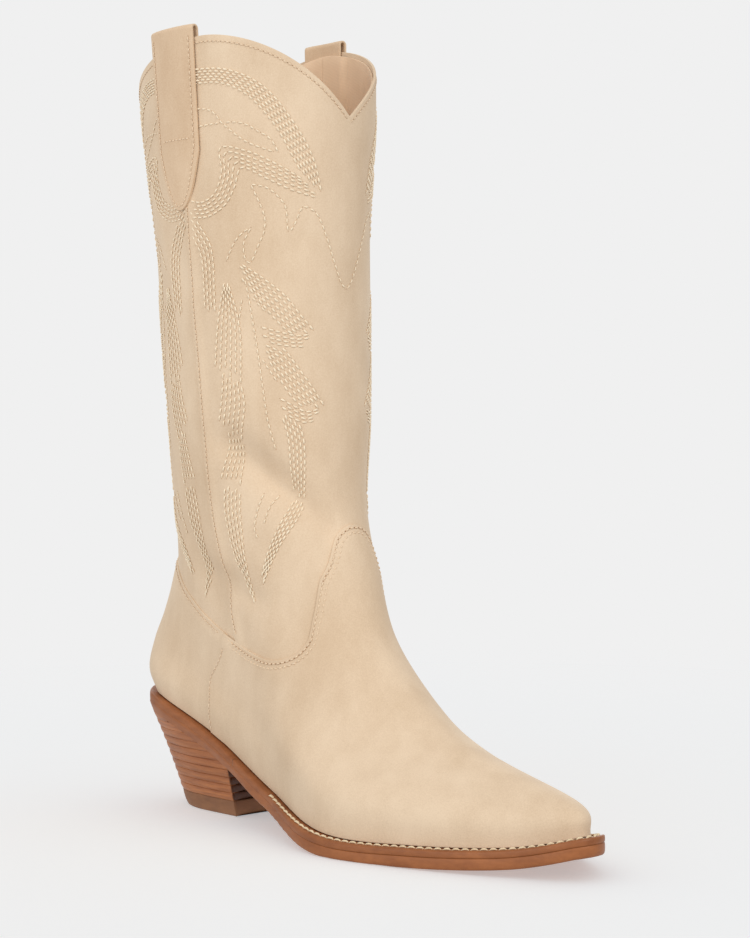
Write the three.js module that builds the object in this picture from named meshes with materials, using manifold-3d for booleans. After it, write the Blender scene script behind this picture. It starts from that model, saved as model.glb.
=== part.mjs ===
// Women's pull-on western boot for the right foot: suede upper, welted leather sole and stacked heel.
// Millimetres. +X points to the toe, +Y to the inner side of the leg, +Z up, and the floor is z = 0.
// While it is being built, x = 0 is near the back of the heel; the last lines centre the boot on its box.
import * as THREE from "three";
import Module from "manifold-3d";

// ---------- sole and foot ----------
const FOOT_BACK = 6; // x of the upper's lower edge at the back of the heel
const FOOT_LENGTH = 283.5; // from there to the tip of the toe
const FOOT_HALF_WIDTH = 40; // scale of the two side columns below
// The lower edge of the upper, at every 22.5 degrees from the heel round to the toe: share of the
// length, outer half-width, inner half-width (both as a share of FOOT_HALF_WIDTH) and height in mm.
const FEATHER_LINE = [
  [0, 0, 0, 57.6],
  [0.018, 0.475, 0.43, 57.4],
  [0.081, 0.715, 0.675, 55],
  [0.23, 0.76, 0.63, 41.1],
  [0.407, 0.915, 0.55, 21],
  [0.585, 1.22, 0.78, 9.2],
  [0.759, 0.955, 0.87, 9],
  [0.911, 0.5, 0.525, 12.1],
  [1, -0.06, -0.06, 18.1],
];
const TOE_SLOPE = 0.2; // rise of the sole's edge past the tip of the upper
const SOLE_THICKNESS = 9; // welt and outsole together
const WELT_PROJECTION = 5.7; // round the forefoot
const RAND_PROJECTION = 3.7; // round the heel and along the waist
const WELT_INSIDE = 7; // how far the welt reaches in under the upper
const WELT_THICKNESS = 3.3;
const BOARD_THICKNESS = 2.4;
const SOCK_THICKNESS = 1.2;
const GAP = 0.3; // clearance kept between neighbouring pieces

// ---------- leg and foot sections ----------
// Each row is one section of the upper, from the sole to the top: back x, back z, front x, front z,
// half-width, how far it has turned from the foot's plan into an ellipse, and how much of the
// sole's curve is left in it.
const SECTIONS = [
  [FOOT_BACK, 60, FOOT_BACK + FOOT_LENGTH, 14, 40, 0, 1],
  [-2, 72, 283, 27.8, 40.8, 0.12, 0.75],
  [-1.4, 86, 227.8, 43.5, 36.2, 0.35, 0.4],
  [4.3, 100, 196.1, 59, 34, 0.6, 0.15],
  [11.1, 115, 161.6, 91.2, 33.3, 0.8, 0],
  [17.1, 130, 144.8, 130.5, 35.7, 0.95, 0],
  [18.6, 150, 136.7, 158, 37.9, 1, 0],
  [17.3, 185, 135.9, 195, 42, 1, 0],
  [12.4, 240, 135, 245, 45.1, 1, 0],
  [2.1, 310, 136.7, 312, 47.4, 1, 0],
  [-7.9, 390, 138, 390, 50, 1, 0],
];
const SINK = 1.6; // the foot part is set in by this much, so that the vamp's face lies on the sections
// The rim falls from a peak on each side to a V at the front and at the back.
const RIM = {
  outer: { peak: 105, high: 380.6, front: 1.8, back: 1.6 },
  inner: { peak: 92, high: 386.2, front: 1.55, back: 1.6 },
};
const RIM_LOW = 340.6;
// Top edge of the counter and the vamp on one side: angle from the back, height.
const FOOT_TOP_EDGE = [
  [-22, 128], [0, 130], [22, 128], [45, 120], [63, 107], [76.5, 97], [86, 91], [97, 85], [109, 82],
  [122, 85], [133, 93], [141, 107], [147, 120], [154, 128], [163, 140], [172, 145], [180, 146], [188, 145],
];
const LAP = 8; // how far the leg panels run down under the vamp
const SUEDE = 1.3;
const LINING = 0.8;
const SIDE_SEAM = 90;
const VAMP_OUT = 1.8; // distance of the vamp's face from the leg panels' face
const STIFFENER = 0.9;
const STIFFENER_ANGLE = 61;
const TOE_PUFF_ANGLE = 146;

// ---------- pull straps ----------
const STRAPS = { outer: { mid: 88, half: 13.2 }, inner: { mid: 89.5, half: 11 } }; // angles
const INNER_STRAP_RISE = 4.2; // how much higher the inner strap sits
const STRAP_TIP_Z = 298;
const STRAP_TIP_RISE = 28;
const STRAP_TIP_POWER = 2.2;
const STRAP_THICKNESS = 1.5;
const STRAP_INNER_Z = 350; // lower end of the part that lies between the panel and the lining
const STRAP_POCKET = { rise: 1.9, side: 1.2, run: 5 }; // how the lining swells round that part
const STRAP_TAIL_TOP = 381;
const LOOP_BOTTOM = 383;
const LOOP_SHOULDER = 384.6;
const LOOP_TOP = 387;

// ---------- heel ----------
const HEEL_TOP_Z = 48;
const HEEL_TOP_ANGLE = 71;
const HEEL_BACK = 19; // at the floor
const HEEL_CURVE = 32;
const HEEL_BREAST = 75.3;
const HEEL_HALF_WIDTH = 19.7;
const HEEL_CURVE_SHARE = 0.55;
const TOP_LIFT = 7.7;
const LIFT_PITCH = 4;
const LIFTS = 9;

// ---------- fastenings of the heel ----------
const SCREW = { x: 28, y: 0, radius: 2.2, headRadius: 4, headHeight: 1.2, bottom: 14 };
const NAIL = { radius: 1.2, bottom: 25 };
const NAIL_PLACES = [[26, -10], [26, 10], [66, -16], [66, 16]];

// ---------- shank ----------
const SHANK = { from: 62, to: 140, halfWidth: 7, top: 0.9, thickness: 1.8 };

const COLOUR = {
  suede: [0xdec8aa, 0.95, 0],
  strap: [0xdac2a2, 0.95, 0],
  lining: [0xbfa380, 0.85, 0],
  board: [0xb89468, 0.9, 0],
  cork: [0xa97f52, 0.95, 0],
  steel: [0x9a9da0, 0.35, 1],
  brass: [0xb58d45, 0.35, 1],
  sole: [0x9c6240, 0.55, 0],
  heel: [0x8a5033, 0.6, 0],
  rubber: [0x6d4630, 0.8, 0],
};

const manifold = await Module();
manifold.setup();

// ---------- curves ----------
function cubic(p0, p1, p2, p3, f) {
  const a = 2 * p0 - 5 * p1 + 4 * p2 - p3;
  const b = 3 * p1 - p0 - 3 * p2 + p3;
  return 0.5 * (2 * p1 + (p2 - p0) * f + a * f * f + b * f * f * f);
}

// Smooth curve through the rows of an open table, at a fractional row number.
function along(table, column, s) {
  const last = table.length - 1;
  const i = Math.min(Math.max(Math.floor(s), 0), last - 1);
  const p1 = table[i][column];
  const p2 = table[i + 1][column];
  const p0 = i > 0 ? table[i - 1][column] : 2 * p1 - p2;
  const p3 = i < last - 1 ? table[i + 2][column] : 2 * p2 - p1;
  return cubic(p0, p1, p2, p3, s - i);
}

function smoothstep(a, b, x) {
  const t = Math.min(Math.max((x - a) / (b - a), 0), 1);
  return t * t * (3 - 2 * t);
}

// 0 before a, 1 after b and even in between; a may be the larger.
function ramp(a, b, x) {
  return Math.min(Math.max((x - a) / (b - a), 0), 1);
}

function bisect(f, low, high) {
  for (let n = 0; n < 40; n += 1) {
    const mid = (low + high) / 2;
    if (f(mid) < 0) low = mid;
    else high = mid;
  }
  return (low + high) / 2;
}

// The lower edge of the upper at an angle in degrees: 0 is the heel, 90 the outer side, 180 the toe.
function featherPoint(angle) {
  const row = (n) => {
    const k = ((n % 16) + 16) % 16;
    const r = FEATHER_LINE[k <= 8 ? k : 16 - k];
    if (k === 0 || k === 8) return [r[0], r[1], r[3]];
    return [r[0], k < 8 ? -r[1] : r[2], r[3]];
  };
  const s = angle / 22.5;
  const i = Math.floor(s);
  const near = [row(i - 1), row(i), row(i + 1), row(i + 2)];
  return [0, 1, 2].map((c) => cubic(near[0][c], near[1][c], near[2][c], near[3][c], s - i));
}

// ---------- the surface of the upper ----------
function surface(angle, v) {
  const [share, side, height] = featherPoint(angle);
  const a = THREE.MathUtils.degToRad(angle);
  const [bx, bz, fx, fz, w, k, fade] = [0, 1, 2, 3, 4, 5, 6].map((c) => along(SECTIONS, c, v));
  const tx = (1 - k) * share + (k * (1 - Math.cos(a))) / 2;
  const ty = (1 - k) * side - k * Math.sin(a);
  const curve = height - (SECTIONS[0][1] + (SECTIONS[0][3] - SECTIONS[0][1]) * share);
  return new THREE.Vector3(bx + (fx - bx) * tx, w * ty, bz + (fz - bz) * tx + fade * curve);
}

// A point at a distance outside the surface; at the sole the offset is level.
function skin(angle, v, distance) {
  const p = surface(angle, v);
  const across = surface(angle + 0.5, v).sub(surface(angle - 0.5, v));
  const up = surface(angle, v + 0.02).sub(surface(angle, v - 0.02));
  const normal = across.cross(up);
  if (v < 1.5) normal.z *= smoothstep(0, 1.5, v);
  normal.normalize();
  const sunk = SINK * (1 - smoothstep(4.2, 6, v));
  return p.addScaledVector(normal, distance - sunk);
}

function heightToRow(angle, z) {
  return bisect((v) => surface(angle, v).z - z, 0, 10);
}

// The same angle on the outer side, from 0 at the heel to 180 at the toe.
function folded(angle) {
  const a = ((angle % 360) + 360) % 360;
  return a <= 180 ? a : 360 - a;
}

function rimHeight(angle) {
  const a = folded(angle);
  const { peak, high, front, back } = isInner(angle) ? RIM.inner : RIM.outer;
  const dip = a > peak ? ((a - peak) / (180 - peak)) ** front : (1 - a / peak) ** back;
  return high - (high - RIM_LOW) * dip;
}

function isInner(angle) {
  return Math.sin(THREE.MathUtils.degToRad(angle)) < 0;
}

function footTopHeight(angle) {
  const a = folded(angle);
  const i = FOOT_TOP_EDGE.findIndex((row, n) => n > 0 && row[0] > a) - 1;
  const at = Math.max(i, 1);
  const f = (a - FOOT_TOP_EDGE[at][0]) / (FOOT_TOP_EDGE[at + 1][0] - FOOT_TOP_EDGE[at][0]);
  return along(FOOT_TOP_EDGE, 1, at + f);
}

const rimRow = (angle) => heightToRow(angle, rimHeight(angle));
const footTopRow = (angle) => heightToRow(angle, footTopHeight(angle));
const legBottomRow = (angle) => heightToRow(angle, footTopHeight(angle) - LAP);

// ---------- building closed bodies ----------
class Faces {
  constructor() {
    this.positions = [];
  }
  triangle(a, b, c) {
    const thin = a.distanceTo(b) < 1e-5 || b.distanceTo(c) < 1e-5 || c.distanceTo(a) < 1e-5;
    if (!thin) this.positions.push(...a.toArray(), ...b.toArray(), ...c.toArray());
  }
  quad(a, b, c, d) {
    this.triangle(a, b, c);
    this.triangle(a, c, d);
  }
  geometry() {
    const g = new THREE.BufferGeometry();
    g.setAttribute("position", new THREE.Float32BufferAttribute(this.positions, 3));
    return g;
  }
}

// A body between two grids of the same size, outer and inner, closed along its four edges.
function between(outer, inner) {
  const faces = new Faces();
  const rows = outer.length - 1;
  const columns = outer[0].length - 1;
  for (let i = 0; i < rows; i += 1) {
    for (let j = 0; j < columns; j += 1) {
      faces.quad(outer[i][j], outer[i][j + 1], outer[i + 1][j + 1], outer[i + 1][j]);
      faces.quad(inner[i][j], inner[i + 1][j], inner[i + 1][j + 1], inner[i][j + 1]);
    }
  }
  for (let j = 0; j < columns; j += 1) {
    faces.quad(outer[0][j + 1], outer[0][j], inner[0][j], inner[0][j + 1]);
    faces.quad(outer[rows][j], outer[rows][j + 1], inner[rows][j + 1], inner[rows][j]);
  }
  for (let i = 0; i < rows; i += 1) {
    faces.quad(outer[i][0], outer[i + 1][0], inner[i + 1][0], inner[i][0]);
    faces.quad(outer[i + 1][columns], outer[i][columns], inner[i][columns], inner[i + 1][columns]);
  }
  return faces.geometry();
}

// Angles from one edge to the other: the edges themselves, and the common lines between them,
// which are closer round the toe.
const FINE_FROM = 128;
function angleLines(from, to) {
  const lines = [from];
  for (let a = -180; a <= 540; a += 7.5) {
    const steps = folded(a + 1) > FINE_FROM ? [a, a + 3.75] : [a];
    lines.push(...steps.filter((x) => x > from + 1.5 && x < to - 1.5));
  }
  lines.push(to);
  return lines;
}

function mix(a, b, t) {
  return a + (b - a) * t;
}

// A sheet of the upper. rows(angle) lists the section numbers from its lower to its upper edge;
// edge(v) is how far its first edge has moved at section v, and the last edge mirrors it.
function sheet({ from, to, rows, out, thickness, edge }) {
  const lines = angleLines(from, to);
  const grid = (distance) => {
    const count = rows(from).length;
    return Array.from({ length: count }, (_, i) =>
      lines.map((line) => {
        let angle = line;
        if (edge) {
          const share = (line - from) / (to - from);
          const shift = edge(rows(counterSeam(1))[i]);
          angle = share < 0.5 ? line + shift * (1 - 2 * share) : line - shift * (2 * share - 1);
        }
        return skin(angle, rows(angle)[i], distance);
      }),
    );
  };
  return between(grid(out), grid(out - thickness));
}

// Section numbers: the fixed low rows, then even steps up to an edge.
function footRows(top, steps) {
  return (angle) => {
    const high = top(angle);
    const low = [0, 0.5, 1, 1.5, 2, 2.5, 3];
    for (let n = 1; n <= steps; n += 1) low.push(mix(3, high, n / steps));
    return low;
  };
}

function evenRows(bottom, top, steps) {
  return (angle) => {
    const low = bottom(angle);
    const high = top(angle);
    return Array.from({ length: steps + 1 }, (_, n) => mix(low, high, n / steps));
  };
}

// ---------- the upper ----------
// Seam between the counter and the vamp: it leans forward as it rises to its top, at this section.
const COUNTER_TOP = 3.44;
const counterSeam = (share) => 66.2 + 17.2 * share ** 1.75;
const seamShift = (v) => counterSeam(v / COUNTER_TOP) - counterSeam(0);
const SEAM_GAP = 0.35; // in degrees

function vamp() {
  return sheet({
    from: counterSeam(0) + SEAM_GAP,
    to: 360 - counterSeam(0) - SEAM_GAP,
    edge: seamShift,
    rows: footRows(footTopRow, 5),
    out: VAMP_OUT,
    thickness: SUEDE,
  });
}

function counter() {
  return sheet({
    from: -counterSeam(0) + SEAM_GAP,
    to: counterSeam(0) - SEAM_GAP,
    edge: (v) => -seamShift(v),
    rows: footRows(footTopRow, 2),
    out: VAMP_OUT,
    thickness: SUEDE,
  });
}

// The rows are closer round the ankle.
const LEG_ROWS = [0, 0.06, 0.13, 0.22, 0.33, 0.47, 0.62, 0.8, 1];

function panelRows(angle) {
  const low = legBottomRow(angle);
  const high = rimRow(angle);
  return LEG_ROWS.map((share) => mix(low, high, share));
}

function legPanel(from, to, out, thickness) {
  return sheet({ from, to, rows: panelRows, out, thickness });
}

// The lining of the leg swells inwards where the end of a pull strap lies behind it.
function legLining(from, to) {
  const { rise, side, run } = STRAP_POCKET;
  const low = STRAP_INNER_Z - 2;
  const turned = { mid: -STRAPS.inner.mid, half: STRAPS.inner.half };
  const beside = ({ mid, half }) =>
    [half + side + run, half + side, -half - side, -half - side - run].map((x) => mid + x);
  const edges = [STRAPS.outer, turned, { ...turned, mid: 360 + turned.mid }]
    .flatMap(beside)
    .filter((angle) => angle > from + 0.5 && angle < to - 0.5);
  const plain = angleLines(from, to).filter((angle) => edges.every((x) => Math.abs(x - angle) > 1.2));
  const lines = [...new Set([...plain, ...edges, from, to])].sort((a, b) => a - b);
  const up = (angle) => (isInner(angle) ? INNER_STRAP_RISE : 0);
  const swell = (angle, z) => {
    const { mid, half } = isInner(angle) ? STRAPS.inner : STRAPS.outer;
    const near = half + side;
    return ramp(near + run, near, Math.abs(folded(angle) - mid)) * ramp(low - run, low, z - up(angle));
  };
  const rows = (angle) => {
    const even = panelRows(angle);
    const pocket = Math.min(low + up(angle), rimHeight(angle) - 4);
    even.splice(-1, 0, heightToRow(angle, pocket - run), heightToRow(angle, pocket));
    return even;
  };
  const grid = (distance) =>
    rows(from).map((_, i) =>
      lines.map((angle) => {
        const v = rows(angle)[i];
        return skin(angle, v, distance - rise * swell(angle, surface(angle, v).z));
      }),
    );
  return between(grid(-SUEDE - GAP), grid(-SUEDE - GAP - LINING));
}

function footLining(from, to) {
  const top = (angle) => heightToRow(angle, footTopHeight(angle) - LAP - 0.6);
  return sheet({ from, to, rows: footRows(top, 4), out: -SUEDE - GAP, thickness: LINING });
}

function stiffener(from, to, top, steps) {
  return sheet({ from, to, rows: evenRows(() => 0, () => top, steps), out: 0, thickness: STIFFENER });
}

// ---------- sole layers ----------
function solePoint(angle, offset, rise) {
  const p = skin(angle, 0, offset + SINK);
  p.z = featherHeight(p.x) + rise;
  return p;
}

// Height of the lower edge of the upper at a place along the boot.
function featherHeight(x) {
  const share = (x - FOOT_BACK) / FOOT_LENGTH;
  if (share > 1) return featherPoint(180)[2] + TOE_SLOPE * (x - FOOT_BACK - FOOT_LENGTH);
  return featherPoint(bisect((angle) => featherPoint(angle)[0] - share, 0, 180))[2];
}

// How far the sole stands out past the upper.
function projection(angle) {
  return mix(RAND_PROJECTION, WELT_PROJECTION, smoothstep(90, 112, folded(angle)));
}

// A layer across the sole between two angles on each side, closed at the heel and the toe.
function soleLayer({ from, to, offset, top, bottom }) {
  const pairs = angleLines(from, to).map((angle) => [angle, 360 - angle]);
  const row = (rise) => pairs.map((pair) => pair.map((angle) => solePoint(angle, offset(angle), rise)));
  const lower = row(bottom);
  for (const pair of lower) for (const p of pair) p.z = Math.max(p.z, 0);
  return layer(row(top), lower);
}

// A layer from rows of outer and inner side points, above and below.
function layer(top, bottom) {
  const faces = new Faces();
  const last = top.length - 1;
  for (let i = 0; i < last; i += 1) {
    faces.quad(top[i][0], top[i + 1][0], top[i + 1][1], top[i][1]);
    faces.quad(bottom[i][0], bottom[i][1], bottom[i + 1][1], bottom[i + 1][0]);
    faces.quad(bottom[i][0], bottom[i + 1][0], top[i + 1][0], top[i][0]);
    faces.quad(bottom[i + 1][1], bottom[i][1], top[i][1], top[i + 1][1]);
  }
  faces.quad(bottom[0][1], bottom[0][0], top[0][0], top[0][1]);
  faces.quad(bottom[last][0], bottom[last][1], top[last][1], top[last][0]);
  return faces.geometry();
}

// A strip that follows the edge of the sole from one angle to another.
function edgeStrip({ from, to, outside, inside, top, bottom }) {
  const lines = angleLines(from, to);
  const row = (offset, rise) => lines.map((angle) => solePoint(angle, offset(angle), rise));
  const outer = [row(outside, bottom), row(outside, top)];
  const inner = [row(inside, bottom), row(inside, top)];
  return between(outer, inner);
}

function bar({ from, to, halfWidth, top, thickness }) {
  const count = 8;
  const rows = (rise) =>
    Array.from({ length: count + 1 }, (_, i) => {
      const x = mix(from, to, i / count);
      const z = featherHeight(x) + rise;
      return [new THREE.Vector3(x, -halfWidth, z), new THREE.Vector3(x, halfWidth, z)];
    });
  return layer(rows(-top), rows(-top - thickness));
}

// ---------- heel ----------
// Outline of the heel on one side at a height: share 0 is the middle of the back, 1 the breast.
function heelPoint(share, side, z) {
  const angle = HEEL_TOP_ANGLE * share;
  const top = solePoint(side < 0 ? angle : 360 - angle, projection(angle) - 0.4, 0);
  const t = Math.min(share / HEEL_CURVE_SHARE, 1) * (Math.PI / 2);
  const straight = Math.max((share - HEEL_CURVE_SHARE) / (1 - HEEL_CURVE_SHARE), 0);
  const curved = HEEL_BACK + HEEL_CURVE * (1 - Math.cos(t));
  const foot = new THREE.Vector3(
    mix(curved, HEEL_BREAST, straight),
    side * HEEL_HALF_WIDTH * Math.sin(t),
    0,
  );
  const p = foot.lerp(top, z / HEEL_TOP_Z);
  p.z = z;
  return p;
}

// One lift between two heights, cut off where the sole comes down to it.
function heelLift(low, high) {
  const under = (x) => featherHeight(x) - SOLE_THICKNESS - GAP;
  const front = (share) => low + 0.5 - under(heelPoint(share, -1, low).x);
  const end = front(1) < 0 ? 1 : bisect(front, 0.3, 1);
  const count = 14;
  const rows = (z, cut) =>
    Array.from({ length: count + 1 }, (_, i) =>
      [-1, 1].map((side) => {
        const p = heelPoint((end * i) / count, side, z);
        if (cut) p.z = Math.min(p.z, under(p.x));
        return p;
      }),
    );
  return layer(rows(high, true), rows(low, false));
}

// ---------- fastenings ----------
function cylinder(x, y, bottom, top, radius, sides) {
  const g = new THREE.CylinderGeometry(radius, radius, top - bottom, sides).toNonIndexed();
  g.deleteAttribute("normal");
  g.deleteAttribute("uv");
  g.rotateX(Math.PI / 2);
  g.translate(x, y, (top + bottom) / 2);
  return g;
}

function toSolid(geometry) {
  const p = geometry.getAttribute("position").array;
  const seen = new Map();
  const vertices = [];
  const triangles = [];
  for (let i = 0; i < p.length; i += 3) {
    const key = [0, 1, 2].map((c) => Math.round(p[i + c] * 1e4)).join();
    if (!seen.has(key)) {
      seen.set(key, seen.size);
      vertices.push(p[i], p[i + 1], p[i + 2]);
    }
    triangles.push(seen.get(key));
  }
  const mesh = new manifold.Mesh({
    numProp: 3,
    vertProperties: new Float32Array(vertices),
    triVerts: new Uint32Array(triangles),
  });
  return new manifold.Manifold(mesh);
}

function fromSolid(solid) {
  const mesh = solid.getMesh();
  const g = new THREE.BufferGeometry();
  g.setAttribute("position", new THREE.BufferAttribute(mesh.vertProperties, 3));
  g.setIndex(new THREE.BufferAttribute(mesh.triVerts, 1));
  return g;
}

const boardTop = (x) => featherHeight(x) + BOARD_THICKNESS;

function screw(clear) {
  const top = boardTop(SCREW.x) - 1.2;
  const neck = top - SCREW.headHeight;
  const { x, y } = SCREW;
  const pin = cylinder(x, y, SCREW.bottom - clear, neck + 0.1, SCREW.radius + clear, 10);
  const head = cylinder(x, y, neck - clear, top + clear, SCREW.headRadius + clear, 14);
  return toSolid(pin).add(toSolid(head));
}

function nail([x, y], clear) {
  const top = boardTop(x) - 1;
  return toSolid(cylinder(x, y, NAIL.bottom - clear, top + clear * 3, NAIL.radius + clear, 8));
}

// The body with the holes that the screw and the nails need in it.
function drilled(geometry) {
  let solid = toSolid(geometry).subtract(screw(GAP));
  for (const place of NAIL_PLACES) solid = solid.subtract(nail(place, GAP));
  return fromSolid(solid);
}

// ---------- pull straps ----------
function strapTail({ mid, half }, tipped, out) {
  const bottom = (angle) => {
    const t = Math.abs(angle - mid) / half;
    const z = tipped ? STRAP_TIP_Z + STRAP_TIP_RISE * t ** STRAP_TIP_POWER : STRAP_INNER_Z;
    return heightToRow(angle, z);
  };
  const top = (angle) => heightToRow(angle, STRAP_TAIL_TOP);
  const from = mid - half;
  const to = mid + half;
  const count = 8;
  const grid = (distance) =>
    Array.from({ length: 7 }, (_, i) =>
      Array.from({ length: count + 1 }, (_u, j) => {
        const angle = mix(from, to, j / count);
        return skin(angle, mix(bottom(angle), top(angle), i / 6), distance);
      }),
    );
  return between(grid(out), grid(out - STRAP_THICKNESS));
}

// The free loop: an arch over the rim, carried along the strap's width.
function strapLoop({ mid, half }, outFace, inFace) {
  const arch = (face, rise, shoulder) => {
    const middle = (face + rise) / 2;
    const radius = (face - rise) / 2;
    return (t) => [middle + radius * Math.cos(Math.PI * t), shoulder];
  };
  const outside = arch(outFace, inFace, LOOP_SHOULDER);
  const inside = arch(outFace - STRAP_THICKNESS, inFace + STRAP_THICKNESS, LOOP_SHOULDER);
  const profile = (curve, height) => {
    const points = [[curve(0)[0], LOOP_BOTTOM]];
    for (let n = 0; n <= 6; n += 1) {
      const [distance, z] = curve(n / 6);
      points.push([distance, z + height * Math.sin((Math.PI * n) / 6)]);
    }
    points.push([curve(1)[0], LOOP_BOTTOM]);
    return points;
  };
  const sweep = (points) =>
    points.map(([distance, z]) =>
      Array.from({ length: 7 }, (_, j) => {
        const angle = mid + half * (j / 3 - 1);
        const p = skin(angle, heightToRow(angle, LOOP_BOTTOM), distance);
        p.z = z;
        return p;
      }),
    );
  const outer = sweep(profile(outside, LOOP_TOP - LOOP_SHOULDER));
  const inner = sweep(profile(inside, LOOP_TOP - LOOP_SHOULDER - STRAP_THICKNESS));
  return between(outer, inner);
}

// The same shape on the inner side of the leg, where the rim stands higher.
function mirrored(geometry) {
  return fromSolid(toSolid(geometry).mirror([0, 1, 0]).translate([0, 0, INNER_STRAP_RISE]));
}

// ---------- assembly ----------
const boot = new THREE.Group();
boot.name = "boot";

function add(name, geometry, look) {
  const [color, roughness, metalness] = COLOUR[look];
  const mesh = new THREE.Mesh(geometry, new THREE.MeshStandardMaterial({ color, roughness, metalness }));
  mesh.name = name;
  boot.add(mesh);
}

add("vamp", vamp(), "suede");
add("counter", counter(), "suede");
const half = SIDE_SEAM + SEAM_GAP;
add("shaft_front_panel", legPanel(half, 360 - half, 0, SUEDE), "suede");
add("shaft_back_panel", legPanel(-SIDE_SEAM + SEAM_GAP, SIDE_SEAM - SEAM_GAP, 0, SUEDE), "suede");
add("shaft_front_lining", legLining(half, 360 - half), "lining");
add("shaft_back_lining", legLining(SEAM_GAP - 90, 90 - SEAM_GAP), "lining");
add("vamp_lining", footLining(SIDE_SEAM + SEAM_GAP, 360 - half), "lining");
add("heel_lining", footLining(SEAM_GAP - 90, 90 - SEAM_GAP), "lining");
add("toe_puff", stiffener(TOE_PUFF_ANGLE, 360 - TOE_PUFF_ANGLE, 2, 4), "board");
add("heel_stiffener", stiffener(-STIFFENER_ANGLE, STIFFENER_ANGLE, 3, 6), "board");

const weltTop = -0.4;
const weltBottom = weltTop - WELT_THICKNESS;
const outsoleTop = weltBottom - GAP;
const edge = { outside: projection, inside: () => -WELT_INSIDE, top: weltTop, bottom: weltBottom };
add("welt", edgeStrip({ ...edge, from: 77.5, to: 282.5 }), "sole");
add("heel_rand", edgeStrip({ ...edge, from: -77, to: 77 }), "sole");
const filling = { offset: () => -WELT_INSIDE - 1, top: weltTop, bottom: weltBottom };
add("forefoot_filler", soleLayer({ ...filling, from: 104, to: 179.9 }), "cork");
add("seat_filler", drilled(soleLayer({ ...filling, from: 0.1, to: 57 })), "board");
add("shank", bar(SHANK), "steel");
const outsole = soleLayer({
  from: 0, to: 180, offset: projection, top: outsoleTop, bottom: -SOLE_THICKNESS,
});
add("outsole", drilled(outsole), "sole");
const board = soleLayer({ from: 0, to: 180, offset: () => -5, top: BOARD_THICKNESS, bottom: 0 });
add("insole_board", drilled(board), "board");
const sockBottom = BOARD_THICKNESS + GAP;
const sock = { offset: () => -5.6, top: sockBottom + SOCK_THICKNESS, bottom: sockBottom };
add("sock_lining", soleLayer({ ...sock, from: 0, to: 180 }), "lining");

add("top_lift", heelLift(0, TOP_LIFT), "rubber");
for (let n = 1; n <= LIFTS; n += 1) {
  const low = TOP_LIFT + GAP + LIFT_PITCH * (n - 1);
  add(`heel_lift_${n}`, drilled(heelLift(low, low + LIFT_PITCH - GAP)), "heel");
}
const seatLow = TOP_LIFT + GAP + LIFT_PITCH * LIFTS;
add("heel_seat_lift", drilled(heelLift(seatLow, HEEL_TOP_Z + 2)), "heel");
add("heel_screw", fromSolid(screw(0)), "steel");
NAIL_PLACES.forEach((place, n) => add(`heel_nail_${n + 1}`, fromSolid(nail(place, 0)), "brass"));

const outFace = GAP + STRAP_THICKNESS;
const inFace = -SUEDE - GAP;
for (const [side, strap] of Object.entries(STRAPS)) {
  const place = side === "inner" ? mirrored : (geometry) => geometry;
  add(`${side}_strap_tail`, place(strapTail(strap, true, outFace)), "strap");
  add(`${side}_strap_end`, place(strapTail(strap, false, inFace)), "strap");
  add(`${side}_strap_loop`, place(strapLoop(strap, outFace, inFace - STRAP_THICKNESS)), "strap");
}

// The origin is the middle of the boot's box, on the floor.
const part = new THREE.Group();
part.name = "cowboy_boot";
part.add(boot);
const box = new THREE.Box3().setFromObject(boot);
const middle = box.getCenter(new THREE.Vector3());
boot.position.set(-middle.x, -middle.y, -box.min.z);

export default part;
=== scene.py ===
# Women's pull-on western boot: napped suede with embroidery, pull straps, welted sole and stacked heel.
# Lengths are millimetres in the boot's building frame (x = 0 near the back of the heel, +X to the toe,
# +Y to the inner side of the leg, z = 0 the floor) and are turned into metres when a mesh is made.
import math

import bpy
import numpy as np
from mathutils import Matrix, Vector, kdtree


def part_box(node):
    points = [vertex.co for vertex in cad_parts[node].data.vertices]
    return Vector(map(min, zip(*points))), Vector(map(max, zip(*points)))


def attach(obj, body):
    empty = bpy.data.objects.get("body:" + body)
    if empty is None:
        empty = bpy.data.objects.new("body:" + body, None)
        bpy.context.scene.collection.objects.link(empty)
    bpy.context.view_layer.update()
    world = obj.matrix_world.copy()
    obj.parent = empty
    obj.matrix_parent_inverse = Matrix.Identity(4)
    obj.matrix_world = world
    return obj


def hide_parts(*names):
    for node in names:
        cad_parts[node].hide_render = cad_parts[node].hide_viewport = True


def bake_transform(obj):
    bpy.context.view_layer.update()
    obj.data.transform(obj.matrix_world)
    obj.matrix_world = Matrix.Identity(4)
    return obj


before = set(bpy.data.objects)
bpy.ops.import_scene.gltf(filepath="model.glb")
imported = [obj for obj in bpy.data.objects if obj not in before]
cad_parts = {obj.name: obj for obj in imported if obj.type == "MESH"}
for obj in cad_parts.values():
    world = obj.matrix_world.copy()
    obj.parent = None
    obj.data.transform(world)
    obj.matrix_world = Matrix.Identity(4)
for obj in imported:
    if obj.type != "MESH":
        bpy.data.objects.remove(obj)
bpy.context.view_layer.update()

# The heel screw stands in the middle of the boot, and places the building frame in the CAD frame.
SCREW_X = 28
SCREW_MIDDLE = np.mean(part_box("heel_screw"), axis=0) * 1000
ORIGIN = np.array([SCREW_MIDDLE[0] - SCREW_X, SCREW_MIDDLE[1], 0])

# ---- camera
CAMERA = np.array([881.3, -676.5, 190.2])
CAMERA_TURN = 47.05  # degrees round from looking along +Y
CAMERA_DIP = 1.0  # degrees below level
LENS, SENSOR_WIDTH = 80.7, 36


def metres(points):
    return (np.asarray(points, float) + ORIGIN) / 1000


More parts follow.
